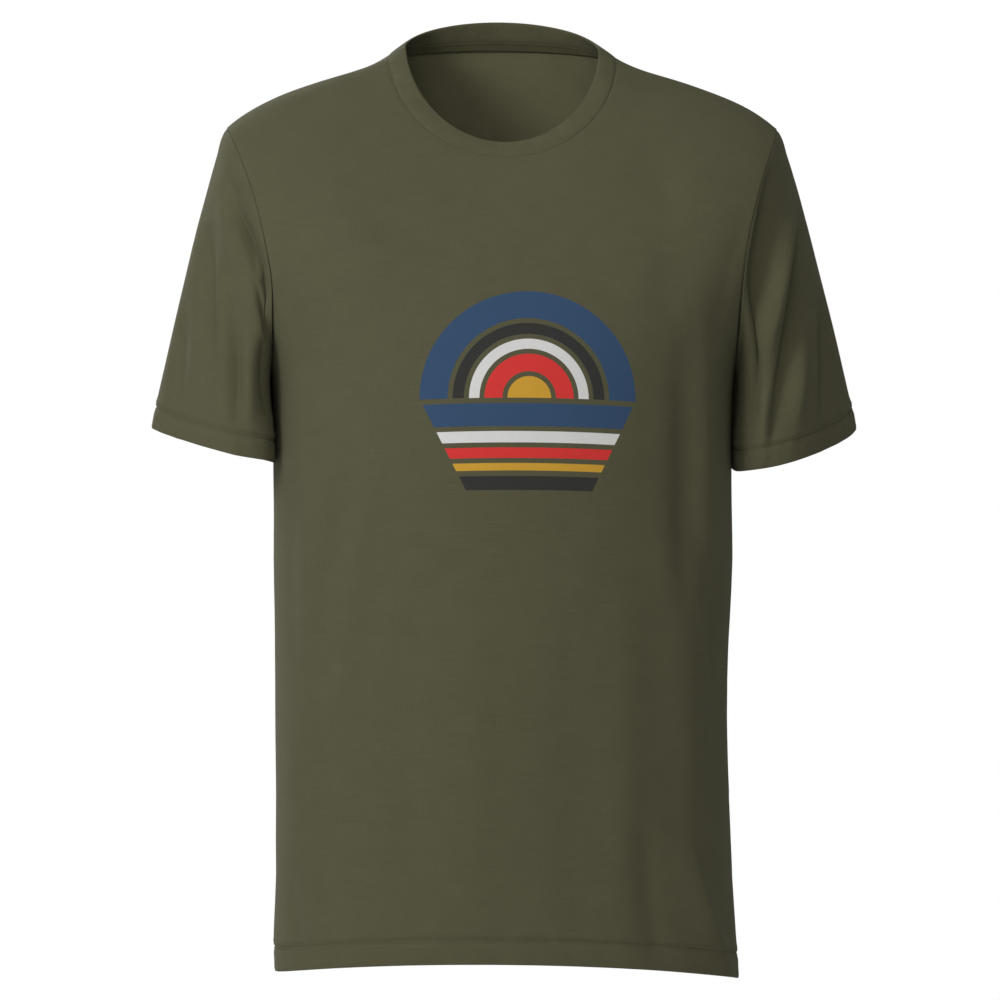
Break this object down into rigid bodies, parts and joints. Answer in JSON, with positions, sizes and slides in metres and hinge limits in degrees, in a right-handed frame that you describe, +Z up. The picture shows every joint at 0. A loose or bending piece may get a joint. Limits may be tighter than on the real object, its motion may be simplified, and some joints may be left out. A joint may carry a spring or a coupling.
{
  "type": "crew neck t-shirt",
  "caption": "Short-sleeved crew neck t-shirt in its worn shape, with a rib collar and a plain geometric chest print.",
  "frame": {"origin": "midway between the two side neck points, where the shirt hangs on the wearer's shoulders", "axes": "+Z up along the wearer, -Y to the front of the shirt, +X to the wearer's left"},
  "size_m": [0.5642, 0.2639, 0.7682],
  "materials": {
    "body_jersey": "plain cotton jersey, matt, army green",
    "sleeve_jersey": "plain cotton jersey, matt, army green",
    "rib_knit": "one by one rib knit, matt, army green",
    "tape": "twill neck tape, matt, army green",
    "hem_jersey": "jersey turned up inside, matt, army green",
    "seam": "overlocked seam allowance, matt, army green"
  },
  "bodies": {
    "root": {"front_panel": "body_jersey", "back_panel": "body_jersey", "sleeve_left": "sleeve_jersey", "sleeve_right": "sleeve_jersey", "neck_rib": "rib_knit", "neck_tape": "tape", "front_neck_seam": "seam", "body_hem": "hem_jersey", "sleeve_hem_left": "hem_jersey", "sleeve_hem_right": "hem_jersey", "side_seam_left": "seam", "side_seam_right": "seam", "shoulder_seam_left": "seam", "shoulder_seam_right": "seam", "armhole_seam_left": "seam", "armhole_seam_right": "seam"}
  },
  "joints": []
}
